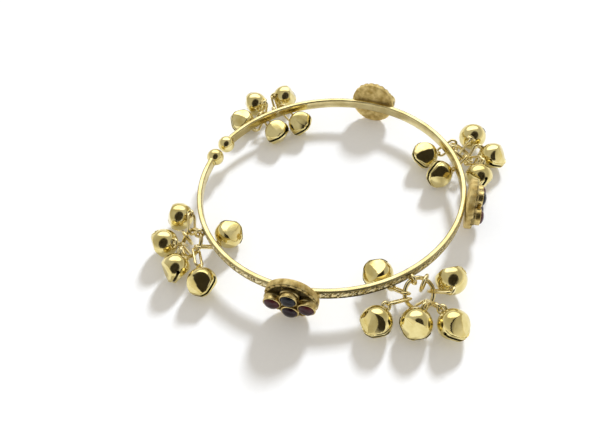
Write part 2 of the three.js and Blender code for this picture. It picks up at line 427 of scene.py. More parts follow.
def glassLook(name, heart, glow):
    look, tree, shader = newLook(name)
    tone = node(tree, "Group", node_tree=stonePaintedGlow)
    wire(tree, node(tree, "TexCoord").outputs["Object"], tone.inputs["Vector"])
    wire(tree, node(tree, "Attribute", attribute_name="patinaShadeGlow").outputs["Fac"], tone.inputs["Depth"])
    tone.inputs["Heart"].default_value = heart
    tone.inputs["Glow"].default_value = glow
    wire(tree, tone.outputs["Color"], shader["Base Color"])
    shader["Roughness"].default_value = glassFinish["rough"]
    shader["IOR"].default_value = glassFinish["ior"]
    shader["Specular IOR Level"].default_value = glassFinish["specular"]
    bumpInto(tree, tone.outputs["Height"], shader, glassFinish["bump"], glassFinish["strength"])
    return look


polishedGold = goldLook("polishedGold", {
    "bright": rgb(237, 223, 162), "deep": rgb(213, 195, 124), "patinashade": rgb(50, 36, 16),
    "grain": 350, "polish": 0.045, "smudge": 0.05, "bump": 0.02, "strength": 0.1})
satinGold = goldLook("satinGold", {
    "bright": rgb(226, 212, 160), "deep": rgb(200, 183, 127), "patinashade": rgb(48, 36, 15),
    "grain": 260, "polish": 0.15, "smudge": 0.06, "bump": 0.03, "strength": 0.2},
    {"fineness": 6000, "cloud": 0.3, "rough": 0.1})
chasedGold = goldLook("chasedGold", {
    "bright": rgb(248, 237, 194), "deep": rgb(222, 202, 144), "patinashade": rgb(40, 28, 12),
    "grain": 700, "polish": 0.16, "smudge": 0.14, "bump": 0.05, "strength": 0.35})
antiqueGold = goldLook("antiqueGold", {
    "bright": rgb(242, 222, 158), "deep": rgb(200, 172, 102), "patinashade": rgb(36, 25, 12),
    "grain": 800, "polish": 0.56, "smudge": 0.1, "bump": 0.14, "strength": 0.7})
bezelGold = goldLook("bezelGold", {
    "bright": rgb(228, 208, 146), "deep": rgb(190, 166, 102), "patinashade": rgb(36, 25, 12),
    "grain": 600, "polish": 0.2, "smudge": 0.12, "bump": 0.04, "strength": 0.3})
wireGold = goldLook("wireGold", {
    "bright": rgb(246, 233, 184), "deep": rgb(224, 205, 144), "patinashade": rgb(48, 34, 14),
    "grain": 500, "polish": 0.12, "smudge": 0.08, "bump": 0.03, "strength": 0.15})
steelShot = goldLook("steelShot", {
    "bright": rgb(150, 150, 150), "deep": rgb(110, 108, 104), "patinashade": rgb(50, 42, 34),
    "grain": 900, "polish": 0.3, "smudge": 0.2, "bump": 0.05, "strength": 0.4})
rubyGlass = glassLook("rubyGlass", rgb(46, 22, 25), rgb(82, 34, 38))
tealGlass = glassLook("tealGlass", rgb(17, 15, 22), rgb(28, 33, 42))
plumGlass = glassLook("plumGlass", rgb(26, 14, 20), rgb(46, 24, 34))
print("finishes made")


# the hoop: a flat strip with rounded edges, channelled outside between two rails

# in the channel the dark share is patina and painted shade; along the rounded edges it is a painted shade
# line
band = {"height": 2.4, "edge": 0.36, "steps": 220, "ballSpacing": 5.2, "rail": 0.1, "channel": 0.24,
        "channelPatinaShade": 0.12, "edgeShade": 0.5}
bandMiddle = (hoop["inner"] + hoop["outer"]) / 2
endTurn = math.degrees(math.asin(band["ballSpacing"] / 2 / bandMiddle))
sweep = 360 - 2 * endTurn


def makeBand():
    clearPick()
    bpy.ops.mesh.primitive_plane_add(size=1, rotation=(math.pi / 2, 0, 0), location=(bandMiddle, 0, 0))
    applyPlace()
    piece = startEdit("band_strip")
    bpy.ops.transform.resize(
        value=(hoop["outer"] - hoop["inner"], 1, band["height"]), center_override=(bandMiddle, 0, 0))
    bpy.ops.mesh.bevel(offset=band["edge"], segments=4, affect="VERTICES")
    pickAll()
    bpy.ops.mesh.spin(steps=band["steps"], angle=math.radians(sweep), center=(0, 0, 0), axis=(0, 0, 1))
    outward()
    rim = hoop["outer"] - 0.02
    pickFaces(lambda at, way: math.hypot(at.x, at.y) > rim and abs(way.z) < 0.2)
    bpy.ops.mesh.inset(thickness=band["rail"], depth=-band["channel"], use_even_offset=True)
    endEdit()
    return piece


bandStrip = makeBand()
# spin can run either way round, and this tells which way it ran
ahead = any(1 < math.degrees(math.atan2(p.co.y, p.co.x)) % 360 < endTurn for p in bandStrip.data.vertices)
firstAngle = hoop["opening"] + endTurn if ahead else hoop["opening"] - endTurn
channelFloor = hoop["outer"] - band["channel"]


def bandPatinaShade(at):  # patina and painted shade deep in the channel, and a painted shade line along each rounded edge
    distance = math.hypot(at.x, at.y)
    if distance > bandMiddle + 0.2 and abs(at.z) < band["height"] / 2 - band["edge"]:
        return band["channelPatinaShade"] * clamp((hoop["outer"] - distance) / band["channel"])
    aside = min(distance - hoop["inner"], hoop["outer"] - distance)
    below = band["height"] / 2 - abs(at.z)
    if max(aside, below) >= band["edge"]:
        return 0
    return band["edgeShade"] * clamp(1 - abs(aside - below) / band["edge"])


smooth(bandStrip, 40)
markPatinaShadeGlow(bandStrip, bandPatinaShade)
place(bandStrip, hoopPlace @ turnZ(firstAngle))
dress(bandStrip, satinGold, "hoop", "satin_gold", "band")
print("band made, starts at", round(firstAngle, 2))


# chased ornament in the channel: flowers with leaf pairs between them

leaf = {"length": 1.3, "width": 0.74, "rise": 0.25, "tipFrom": 0.2, "tipStretch": (1.08, 0.55, 0.75),
        "vein": 0.09, "veinWide": 0.02, "veinAbove": 0.08, "veinTo": 0.3, "root": 0.02}
bead = {"root": 0.1, "foot": 1.15}
flower = {"petals": 5, "size": 0.6, "rise": 1.5, "reach": 0.46, "turn": 30, "bead": 0.24, "beadRise": 1.3}
chasing = {"count": 34, "margin": 3.5, "leafAt": 1.55, "leafTurn": 28, "leafSize": 1.4, "leafRise": 0.8,
           "leafShadow": 1.26, "leafShadowRise": 0.1,  # a flat dark copy under each long leaf, a painted shadow
           "budAt": 1.3, "budAside": 0.5, "budTurn": 10, "budSize": 0.62, "budRise": 1.4, "budPair": 3.7,
           "beadAt": 2.78, "bead": 0.2, "beadRise": 1.1, "darkTop": 0.09, "darkFade": 0.06}


def makeLeaf():
    clearPick()
    bpy.ops.mesh.primitive_uv_sphere_add(segments=8, ring_count=6, radius=0.5)
    piece = startEdit("leafPattern")
    bpy.ops.transform.rotate(value=math.pi / 2, orient_axis="Y", center_override=(0, 0, 0))
    grow(leaf["length"], leaf["width"], 2 * leaf["rise"])
    pickPoints(lambda at: at.x > leaf["tipFrom"] * leaf["length"])
    grow(*leaf["tipStretch"])
    pickPoints(lambda at: abs(at.y) < leaf["veinWide"] and at.z > leaf["veinAbove"]
               and at.x < leaf["veinTo"] * leaf["length"])
    shift(0, 0, -leaf["vein"])
    pickAll()
    sliceLevel(-leaf["root"], use_fill=True, clear_inner=True)
    outward()
    endEdit()
    return piece


def makeBead():
    clearPick()
    bpy.ops.mesh.primitive_uv_sphere_add(segments=8, ring_count=6, radius=1)
    piece = startEdit("beadPattern")
    sliceLevel(-bead["root"], use_fill=True, clear_inner=True)
    pickPoints(lambda at: at.z < 0)
    grow(bead["foot"], bead["foot"], 1)
    outward()
    endEdit()
    return piece


leafPattern = makeLeaf()
beadPattern = makeBead()


def flatCopy(pattern, x, y, turn, size, rise=1.0):
    piece = copyOf(pattern, "ornament")
    stretch = Matrix.Diagonal((size, size, size * rise, 1))
    settle(piece, Matrix.Translation((x, y, 0)) @ turnZ(turn) @ stretch)
    return piece


def makeMotif():
    parts = [flatCopy(beadPattern, 0, 0, 0, flower["bead"], flower["beadRise"])]
    for index in range(flower["petals"]):
        turn = 360 * index / flower["petals"] + flower["turn"]
        x = flower["reach"] * math.cos(math.radians(turn))
        y = flower["reach"] * math.sin(math.radians(turn))
        parts.append(flatCopy(leafPattern, x, y, turn + 180, flower["size"], flower["rise"]))
    for way in (-1, 1):  # a long leaf on each side, with a bud in the corner that it leaves
        lean = chasing["leafTurn"] + (0 if way > 0 else 180)
        leafX, size = way * chasing["leafAt"], chasing["leafSize"]
        parts.append(flatCopy(leafPattern, leafX, 0, lean, size, chasing["leafRise"]))
        # a flat, wider copy under the leaf, dark on the channel's floor: a painted shadow
        parts.append(flatCopy(leafPattern, leafX, 0, lean, size * chasing["leafShadow"], chasing["leafShadowRise"]))
        x, y = way * chasing["budAt"], way * chasing["budAside"]
        budSize, budRise = chasing["budSize"], chasing["budRise"]
        parts.append(flatCopy(leafPattern, x, y, lean + chasing["budTurn"], budSize, budRise))
        parts.append(flatCopy(leafPattern, way * chasing["budPair"] - x, -y, lean, budSize, budRise))
    parts.append(flatCopy(beadPattern, chasing["beadAt"], 0, 0, chasing["bead"], chasing["beadRise"]))
    return joined(parts, "motifPattern")


motifPattern = makeMotif()
# from laid flat to facing outward
facing = basis(Vector((0, 1, 0)), Vector((0, 0, 1)), Vector((1, 0, 0)), Vector((0, 0, 0)))
firstMotif = hoop["opening"] + endTurn + chasing["margin"]
motifSweep = sweep - 2 * chasing["margin"]
motifs = []
for index in range(chasing["count"]):
    angle = firstMotif + motifSweep * (index + 0.5) / chasing["count"]
    motif = copyOf(motifPattern, "motif")
    settle(motif, turnZ(angle) @ Matrix.Translation((channelFloor, 0, 0)) @ facing)
    motifs.append(motif)


def chasingPatinaShade(at):  # patina and painted shade on the channel's floor, and the painted shadows under the leaves, clean above it
    return clamp((channelFloor + chasing["darkTop"] - math.hypot(at.x, at.y)) / chasing["darkFade"])


bandChasing = joined(motifs, "band_chasing")
smooth(bandChasing, 50)
markPatinaShadeGlow(bandChasing, chasingPatinaShade)
place(bandChasing, hoopPlace)
dress(bandChasing, chasedGold, "hoop", "satin_gold")
drop(motifPattern)
print("chasing made,", len(bandChasing.data.polygons), "faces")


# polished balls on the two ends, each with a collar that takes the strip

endBall = {"radius": 2.1, "cap": 0.86, "collar": 0.42, "collarFrom": 0.6, "collarWide": 1.22,
           "collarThin": 0.86, "crownFrom": 0.1, "crownAt": 0.2, "crownFlat": 0.15, "worn": 0.985,
           "wornFlat": 0.2, "bevel": 0.06, "darkening": 0.8, "dirtFrom": 1.75, "dirtTo": 2.15, "darkFade": 0.15}


def makeBall():
    radius = endBall["radius"]
    capTop, wornAt = endBall["cap"] * radius, -endBall["worn"] * radius
    clearPick()
    bpy.ops.mesh.primitive_uv_sphere_add(segments=48, ring_count=32, radius=radius)
    piece = startEdit("ballPattern")
    pickFaces(lambda at, way: at.z > capTop)
    raisePicked(endBall["collar"])
    pickPoints(lambda at: at.z > capTop + endBall["collar"] * endBall["collarFrom"])
    grow(endBall["collarWide"], endBall["collarThin"], 1)
    pickPoints(lambda at: at.z > radius + endBall["crownFrom"])
    flatten(endBall["crownFlat"], radius + endBall["crownAt"])
    pickFaces(lambda at, way: at.z < wornAt)  # a small worn flat where the two ends meet
    flatten(endBall["wornFlat"], wornAt)
    outward()
    endEdit()
    addModifier(piece, "BEVEL", width=endBall["bevel"], segments=2, limit_method="ANGLE",
                angle_limit=math.radians(35))
    smooth(piece, 50)
    markPatinaShadeGlow(piece, ballRecess)
    return piece


def ballRecess(at):  # a dark line round the collar's foot
    above = clamp((at.z - endBall["dirtFrom"]) / endBall["darkFade"])
    below = clamp((endBall["dirtTo"] - at.z) / endBall["darkFade"])
    return above * below * endBall["darkening"]


ballPattern = makeBall()
for index, side in enumerate((-1, 1)):
    ball = copyOf(ballPattern, f"end_ball_{index + 1}")
    turned = basis(Vector((0, 0, 1)), Vector((side, 0, 0)), Vector((0, side, 0)), Vector((0, 0, 0)))
    place(ball, stationAt(hoop["opening"] + side * endTurn, bandMiddle) @ turned)
    dress(ball, polishedGold, "hoop", "polished_gold")
drop(ballPattern)
print("end balls made")


# rosettes: sunk round plates with a petal border, four cups and their stones

plate = {"radius": 5.65, "thick": 1.6, "edge": 0.34, "border": 0.72, "wall": 0.14, "sink": 0.4,
         "backRise": 0.3, "backStep": 1.15, "backShares": (0.4, 0.3, 0.2, 0.1),
         "notchWide": 0.19, "notchIn": 0.975,
         "petals": 22, "petalIn": 0.46, "petalSink": 0.06, "petalStretch": (0.55, 1.75, 0.7, 1),
         "sprays": 8, "sprayAt": 3.6, "sprayStretch": (1.0, 1.3, 1.2, 1),
         # the sunk field's dark share is patina and painted shade
         "fieldPatinaShade": 0.86, "fieldWorn": 0.5, "fieldFade": 0.25, "sideDirt": 0.22, "plainDirt": 0.06,
         "borderDirt": 0.75, "petalFoot": 0.06, "petalFade": 0.08, "petalDirt": 0.55}
cup = {"outer": 1.9, "inner": 1.66, "base": 1.2, "top": 3.1, "floor": 1.85, "roll": 0.18,
       "foot": 1.08, "footTop": 1.9, "wallFrom": 2.05,  # the foot is wider by a step
       "insideDark": 0.85, "footDark": 0.7, "darkTop": 2.15, "darkFade": 0.4}
stone = {"radius": 1.6, "base": 1.95, "girdle": 2.98, "dome": 0.87, "bevel": 0.05, "glowFalloff": 1.5}
rosettes = {"angles": [270, 0, 82], "gap": 0.3, "side": 3.6, "upper": 2.0, "cupTurn": 7}
stonePlaces = {
    "left": (-rosettes["side"], 0, rubyGlass, "red_glass"),
    "upper": (0, rosettes["upper"], tealGlass, "teal_glass"),
    "right": (rosettes["side"], 0, rubyGlass, "red_glass"),
    "lower": (0, -rosettes["upper"], plumGlass, "plum_glass"),
}


def makePlate():
    clearPick()
    bpy.ops.mesh.primitive_cylinder_add(
        vertices=132, radius=plate["radius"], depth=plate["thick"], location=(0, 0, plate["thick"] / 2))
    applyPlace()
    piece = startEdit("platePattern")
    pickEdges(lambda a, b: abs(a.z - b.z) < 0.001)
    bpy.ops.mesh.bevel(offset=plate["edge"], segments=4, affect="EDGES")
    pickFaces(lambda at, way: way.z > 0.99 and at.z > plate["thick"] - 0.01)
    bpy.ops.mesh.inset(thickness=plate["border"] - plate["edge"], depth=0)
    bpy.ops.mesh.inset(thickness=plate["wall"], depth=-plate["sink"])
    pickFaces(lambda at, way: way.z < -0.99 and at.z < 0.01)
    for share in plate["backShares"]:  # the back is a low dome that meets the strip
        bpy.ops.mesh.inset(thickness=plate["backStep"], depth=plate["backRise"] * share)
    notch = 360 / plate["petals"]
    pickPoints(lambda at: math.hypot(at.x, at.y) > plate["radius"] - 0.5 and at.z > 0.5
               and abs(math.degrees(math.atan2(at.y, at.x)) % notch - notch / 2) < plate["notchWide"] * notch)
    grow(plate["notchIn"], plate["notchIn"], 1)
    endEdit()
    parts = [piece]
    onBorder = Matrix.Translation((0, 0, plate["thick"] - plate["petalSink"]))
    outToPetal = Matrix.Translation((plate["radius"] - plate["petalIn"], 0, 0))
    for index in range(plate["petals"]):
        petal = copyOf(leafPattern, "petal")
        at = onBorder @ turnZ(360 * index / plate["petals"]) @ outToPetal
        settle(petal, at @ turnZ(180) @ Matrix.Diagonal(plate["petalStretch"]))
        parts.append(petal)
    onField = Matrix.Translation((0, 0, plate["thick"] - plate["sink"]))
    outToSpray = Matrix.Translation((plate["sprayAt"], 0, 0))
    for index in range(plate["sprays"]):  # leaves on the sunk field, between the cups
        spray = copyOf(leafPattern, "spray")
        at = onField @ turnZ(360 * (index + 0.5) / plate["sprays"]) @ outToSpray
        settle(spray, at @ Matrix.Diagonal(plate["sprayStretch"]))
        parts.append(spray)
    piece = joined(parts, "platePattern")
    smooth(piece, 40)
    return piece


def plateRecess(at):  # patina and painted shade on the sunk field, and patina between the petals
    reach = math.hypot(at.x, at.y)
    notch = 360 / plate["petals"]
    between = abs(math.degrees(math.atan2(at.y, at.x)) % notch - notch / 2) / (notch / 2)
    if at.z > plate["thick"] - plate["sink"] - 0.05 and reach < plate["radius"] - plate["border"] + 0.1:
        worn = clamp((at.z - plate["thick"] + plate["sink"]) / plate["fieldFade"])
        return plate["fieldPatinaShade"] - plate["fieldWorn"] * worn
    if at.z > plate["thick"] - 0.1:
        low = clamp((plate["thick"] + plate["petalFoot"] - at.z) / plate["petalFade"])
        return plate["borderDirt"] * low * (1 if between < 0.5 else plate["petalDirt"])
    return plate["sideDirt"] if at.z > 0.4 and between < 0.4 else plate["plainDirt"]


def makeCup():
    clearPick()
    depth = cup["top"] - cup["base"]
    bpy.ops.mesh.primitive_cylinder_add(
        vertices=80, radius=cup["outer"], depth=depth, location=(0, 0, cup["base"] + depth / 2))
    applyPlace()
    piece = startEdit("cupPattern")
    sliceLevel(cup["wallFrom"])
    pickAll()
    sliceLevel(cup["footTop"])
    pickPoints(lambda at: at.z < cup["footTop"] + 0.05)
    grow(cup["foot"], cup["foot"], 1)
    pickFaces(lambda at, way: way.z > 0.99 and at.z > cup["top"] - 0.01)
    bpy.ops.mesh.inset(thickness=cup["outer"] - cup["inner"], depth=0)
    raisePicked(cup["floor"] - cup["top"])
    outward()
    rim = cup["top"] - 0.01
    pickEdges(lambda a, b: min(a.z, b.z) > rim and min(a.xy.length, b.xy.length) > cup["inner"] + 0.05)
    bpy.ops.mesh.bevel(offset=cup["roll"], segments=4, affect="EDGES")  # the rim is rolled over the stone
    endEdit()
    smooth(piece, 45)
    markPatinaShadeGlow(piece, cupRecess)
    return piece


def cupRecess(at):  # dark at the foot and down the inside, bright on the rolled rim
    if at.z > cup["top"] - cup["roll"] - 0.01:
        return 0
    if at.xy.length < cup["inner"] + 0.05:
        return cup["insideDark"]
    return cup["footDark"] * clamp((cup["darkTop"] - at.z) / cup["darkFade"])


def makeStone():
    clearPick()
    bpy.ops.mesh.primitive_uv_sphere_add(segments=48, ring_count=24, radius=stone["radius"])
    piece = startEdit("stonePattern")
    grow(1, 1, stone["dome"] / stone["radius"])
    sliceLevel(0, clear_inner=True)
    raisePicked(stone["base"] - stone["girdle"])
    bpy.ops.mesh.edge_face_add()
    pickAll()
    shift(0, 0, stone["girdle"])
    outward()
    endEdit()
    addModifier(piece, "BEVEL", width=stone["bevel"], segments=2, limit_method="ANGLE",
                angle_limit=math.radians(50))
    smooth(piece, 55)
    # the painted glow's share rises towards the stone's rim
    markPatinaShadeGlow(piece, lambda at: clamp(math.hypot(at.x, at.y) / stone["radius"]) ** stone["glowFalloff"])
    return piece


platePattern, cupPattern, stonePattern = makePlate(), makeCup(), makeStone()
markPatinaShadeGlow(platePattern, plateRecess)
for index, angle in enumerate(rosettes["angles"]):
    number = index + 1
    face = stationAt(angle, hoop["outer"] + rosettes["gap"]) @ facing
    disc = copyOf(platePattern, f"plate_{number}_disc")
    place(disc, face)
    dress(disc, antiqueGold, "hoop", "antique_gold", f"plate_{number}")
    for word, (x, y, glass, slot) in stonePlaces.items():
        at = face @ Matrix.Translation((x, y, 0)) @ turnZ(rosettes["cupTurn"] * len(word))
        bezel = copyOf(cupPattern, f"bezel_{number}_{word}")
        place(bezel, at)
        dress(bezel, bezelGold, "hoop", "antique_gold")
        gem = copyOf(stonePattern, f"stone_{number}_{word}_glass")
        place(gem, at)
        dress(gem, glass, "hoop", slot, f"stone_{number}_{word}")
drop(platePattern, cupPattern, stonePattern)
print("rosettes made")


# wire work: hangers and shanks that solder closes, and rings and links with the wire's cut showing

wireWork = {"wire": 0.62, "ringWire": 0.8, "plating": 0.08, "cut": 0.07,
            "linkPlating": 0.0,  # links stay thin, so that neighbours clear each other
            "ring": 7.2, "tilt": 40, "hanger": 2.6, "hangerOut": 0.85, "hangerDrop": 0.3,
            "shank": 2.2, "shankOut": 0.4, "link": 5.8, "linkWide": 2.5, "play": 0.3, "seat": 0.5,
            "ringCut": 155, "linkCut": 90, "ringDirt": 0.35, "dirtWide": 0.6, "darkFade": 0.2}
jumpRing = {"radius": 1.75, "inset": 0.8, "cut": 70,  # loose on the large ring, at an angle and a lean
            "places": {"a": (), "b": (), "c": ((126, 60),), "d": ((-74, 120),)}}
solder = {"hanger": (0.3, 0.62, 0.85), "hangerOut": 0.02, "hangerDirt": (0.6, 0.45, 0.4),
          "shank": (0.34, 0.8, 0.55), "shankIn": 0.12, "shankDirt": (0.55, -0.2, 0.25),
          "footFrom": 0.2, "footWide": 1.18}
ringRadius = (wireWork["ring"] - wireWork["ringWire"]) / 2


def makeLoop(name, radius, thick, steps, stretch=0.0, cutAt=None, plating=wireWork["plating"]):
    clearPick()
    bpy.ops.mesh.primitive_torus_add(
        major_radius=radius, minor_radius=(thick + plating) / 2, major_segments=steps, minor_segments=14)
    piece = startEdit(name)
    if stretch:
        pickPoints(lambda at: at.x > 0.001)
        shift(stretch, 0, 0)
        pickPoints(lambda at: at.x < -0.001)
        shift(-stretch, 0, 0)
    if cutAt is not None:  # the two ends of the wire stand a hair apart
        cutX, cutY = math.cos(math.radians(cutAt)), math.sin(math.radians(cutAt))
        half = wireWork["cut"] / 2
        for shiftBy in (-half, half):
            pickAll()
            bpy.ops.mesh.bisect(
                plane_co=(-cutY * shiftBy, cutX * shiftBy, 0), plane_no=(-cutY, cutX, 0))
        pickFaces(lambda at, way: abs(-cutY * at.x + cutX * at.y) < half - 0.001
                  and cutX * at.x + cutY * at.y > 0)
        bpy.ops.mesh.delete(type="FACE")
        bpy.ops.mesh.select_mode(type="EDGE")
        bpy.ops.mesh.select_all(action="DESELECT")
        bpy.ops.mesh.select_non_manifold()
        bpy.ops.mesh.fill_holes(sides=0)
    outward()
    endEdit()
    smooth(piece, 50)
    return piece


def makeMound(name, x, y, z):
    clearPick()
    bpy.ops.mesh.primitive_uv_sphere_add(segments=20, ring_count=12, radius=1)
    piece = startEdit(name)
    grow(x, y, z)
    pickPoints(lambda at: at.x < -solder["footFrom"] * x)
    grow(1, solder["footWide"], solder["footWide"])
    endEdit()
    smooth(piece, 60)
    return piece


def solderRecess(most, top, fade):  # dark round the solder, clean further out on the wire
    return lambda at: most * clamp((top - at.x) / fade)


hangerPattern = makeLoop("hangerPattern", (wireWork["hanger"] - wireWork["wire"]) / 2, wireWork["wire"], 40)
settle(hangerPattern, Matrix.Translation((wireWork["hangerOut"], 0, -wireWork["hangerDrop"]))
       @ Matrix.Rotation(math.pi / 2, 4, "X"))
moundPattern = makeMound("moundPattern", *solder["hanger"])
settle(moundPattern, Matrix.Translation((solder["hangerOut"], 0, -wireWork["hangerDrop"])))
hangerPattern = joined([hangerPattern, moundPattern], "hangerPattern")
markPatinaShadeGlow(hangerPattern, solderRecess(*solder["hangerDirt"]))


def ringRecess(at):  # rubbed dirt along the inside of the ring
    level = clamp(wireWork["dirtWide"] - abs(at.z) / wireWork["darkFade"])
    inside = clamp((ringRadius - math.hypot(at.x, at.y)) / wireWork["darkFade"])
    return wireWork["ringDirt"] * level * inside


ringPattern = makeLoop("ringPattern", ringRadius, wireWork["ringWire"], 72, cutAt=wireWork["ringCut"])
markPatinaShadeGlow(ringPattern, ringRecess)
jumpPattern = makeLoop("jumpPattern", jumpRing["radius"], wireWork["wire"], 48, cutAt=jumpRing["cut"])
linkRadius = (wireWork["linkWide"] - wireWork["wire"]) / 2
linkPattern = makeLoop("linkPattern", linkRadius, wireWork["wire"], 40,
                       stretch=(wireWork["link"] - wireWork["linkWide"]) / 2,
                       cutAt=wireWork["linkCut"], plating=wireWork["linkPlating"])
shankRadius = (wireWork["shank"] - wireWork["wire"]) / 2


# bells: a dome drawn in below to two lips with a slit between them

bellShape = {"radius": 3.26, "around": 64, "rows": 40, "swell": 0.2, "sheet": 0.35, "sharpFrom": 48,
             "innerDark": 0.9, "innerFrom": 0.16,
             "slit": 0.55, "slitTop": 0.35, "slitDeep": 4, "slitEnd": 0.8, "through": 9,
             "lip": 0.4, "lipRise": 0.1,
             "cheeks": [(72, 34, 2.4), (108, 34, 2.4), (252, 34, 2.4), (288, 34, 2.4),
                        (0, 50, 2.96), (180, 50, 2.96)]}  # each with its heading, tilt and reach


def makeCutter(name, add, **values):
    clearPick()
    add(**values)
    applyPlace()
    bpy.context.object.name = name
    return bpy.context.object


def cutAway(piece, cutter):
    addModifier(piece, "BOOLEAN", operation="DIFFERENCE", solver="EXACT", object=cutter)
    drop(cutter)


def cheekWay(heading, tilt):
    level = math.cos(math.radians(tilt))
    return Vector((level * math.cos(math.radians(heading)), level * math.sin(math.radians(heading)),
                   -math.sin(math.radians(tilt))))


def pressCheek(piece, heading, tilt, reach):  # turned so that the cheek is on top, then squeezed nearly flat
    turned = cheekWay(heading, tilt).rotation_difference(up).to_matrix().to_4x4()
    settle(piece, turned)
    startEdit("bellPattern")
    sliceLevel(reach)
    pickPoints(lambda at: at.z > reach + 0.001)
    flatten(bellShape["swell"], reach)
    outward()
    endEdit()
    settle(piece, turned.inverted())


def raiseLips(piece):  # a low rim along both sides of the slit
    edge = bellShape["slit"] / 2 + bellShape["lip"]
    only(piece)
    startEdit("bellPattern")
    for side in (-1, 1):
        pickFaces(lambda at, way: at.z < 0)
        bpy.ops.mesh.bisect(plane_co=(0, side * edge, 0), plane_no=(0, 1, 0))
    pickFaces(lambda at, way: abs(at.y) < edge and at.z < -bellShape["slitTop"])
    bpy.ops.mesh.extrude_region_shrink_fatten(TRANSFORM_OT_shrink_fatten={"value": bellShape["lipRise"]})
    outward()
    endEdit()


def makeBell():
    shape, radius = bellShape, bellShape["radius"]
    clearPick()
    bpy.ops.mesh.primitive_uv_sphere_add(segments=shape["around"], ring_count=shape["rows"], radius=radius)
    piece = bpy.context.object
    for cheek in shape["cheeks"]:
        pressCheek(piece, *cheek)
    hollow = copyOf(piece, "bellHollow")
    settle(hollow, Matrix.Scale(1 - shape["sheet"] / radius, 4))
    raiseLips(piece)
    cutAway(piece, hollow)
    cutAway(piece, makeCutter(
        "slitCutter", bpy.ops.mesh.primitive_cube_add, size=1,
        scale=(shape["through"], shape["slit"], shape["slitDeep"]),
        location=(0, 0, -shape["slitTop"] - shape["slitDeep"] / 2)))
    cutAway(piece, makeCutter(
        "slitEndCutter", bpy.ops.mesh.primitive_cylinder_add, vertices=24, radius=shape["slitEnd"] / 2,
        depth=shape["through"], rotation=(0, math.pi / 2, 0),
        location=(0, 0, -shape["slitTop"] - shape["slitEnd"] / 2)))
    smooth(piece, shape["sharpFrom"])
    markPatinaShadeGlow(piece, bellRecess)
    return piece


def bellRecess(at):  # darker on the inner wall, which lies a sheet's thickness within the outer one
    within = bellShape["radius"] - at.length
    for heading, tilt, reach in bellShape["cheeks"]:
        within = min(within, reach - at.dot(cheekWay(heading, tilt)))
    return bellShape["innerDark"] if within > bellShape["innerFrom"] else 0


bellPattern = makeBell()
shankPattern = makeLoop("shankPattern", shankRadius, wireWork["wire"], 36)
shankFoot = makeMound("shankFoot", *solder["shank"])
settle(shankFoot, Matrix.Translation((-wireWork["shankOut"] - solder["shankIn"], 0, 0)))
shankPattern = joined([shankPattern, shankFoot], "shankPattern")
markPatinaShadeGlow(shankPattern, solderRecess(*solder["shankDirt"]))

pelletShape = {"radius": 0.88, "seam": 0.12, "seamRise": 0.018, "drop": 1.05}


def makePellet():
    clearPick()
    bpy.ops.mesh.primitive_uv_sphere_add(segments=24, ring_count=16, radius=pelletShape["radius"])
    piece = startEdit("pelletPattern")
    pickFaces(lambda at, way: abs(at.z) < pelletShape["seam"])  # the seam that the mould leaves
    bpy.ops.mesh.extrude_region_shrink_fatten(TRANSFORM_OT_shrink_fatten={"value": pelletShape["seamRise"]})
    outward()
    endEdit()
    smooth(piece, 40)
    return piece


pelletPattern = makePellet()
print("bell, shank, link and pellet patterns made,", len(bellPattern.data.polygons), "faces in a bell")

# how the bells hang: out and along in bell diameters, the place on the ring, the fold and the slit's turn
bellSize = 6.6
floorGap = 0.05
clusters = {
    "a": (131, [(0.58, 1.30, 88, 139, 20), (1.39, 0.39, 45, 332, 70), (1.14, -0.91, -43, 32, -35),
                (-0.80, 0.33, 119, 177, -20), (-0.80, -0.72, -115, 167, -30)]),
    "b": (33, [(1.31, 0.64, 45, 338, 40), (0.45, -1.38, -87, 36, -60), (1.45, -0.62, -45, 44, 15),
               (-0.78, -0.70, -118, 173, 75), (-0.81, 0.39, 117, 187, 25)]),
    "c": (315, [(0.62, -1.66, -95, 305, -5), (1.30, -0.72, -37, 27, 10), (1.92, 0.17, 26, 354, 20),
                (0.62, 1.14, 72, 299, 40), (-0.78, -0.64, -120, 190, 30)]),
    "d": (219, [(0.56, -1.38, -114, 308, 30), (1.38, -0.44, -34, 34, 80), (1.30, 0.78, 34, 358, -50),
                (0.67, 1.77, 94, 54, -25), (-0.78, 0.23, 121, 189, -40)]),
}
behindRing = wireWork["ringWire"] / 2 + wireWork["wire"] / 2 + wireWork["play"]
linkReach = wireWork["link"] - wireWork["wire"] - behindRing
neckReach = bellSize / 2 + wireWork["shankOut"] + wireWork["seat"]
bellHeight = bellSize / 2 + floorGap - hoop["height"]


def across(vector, axis):
    return (vector - axis * vector.dot(axis)).normalized()


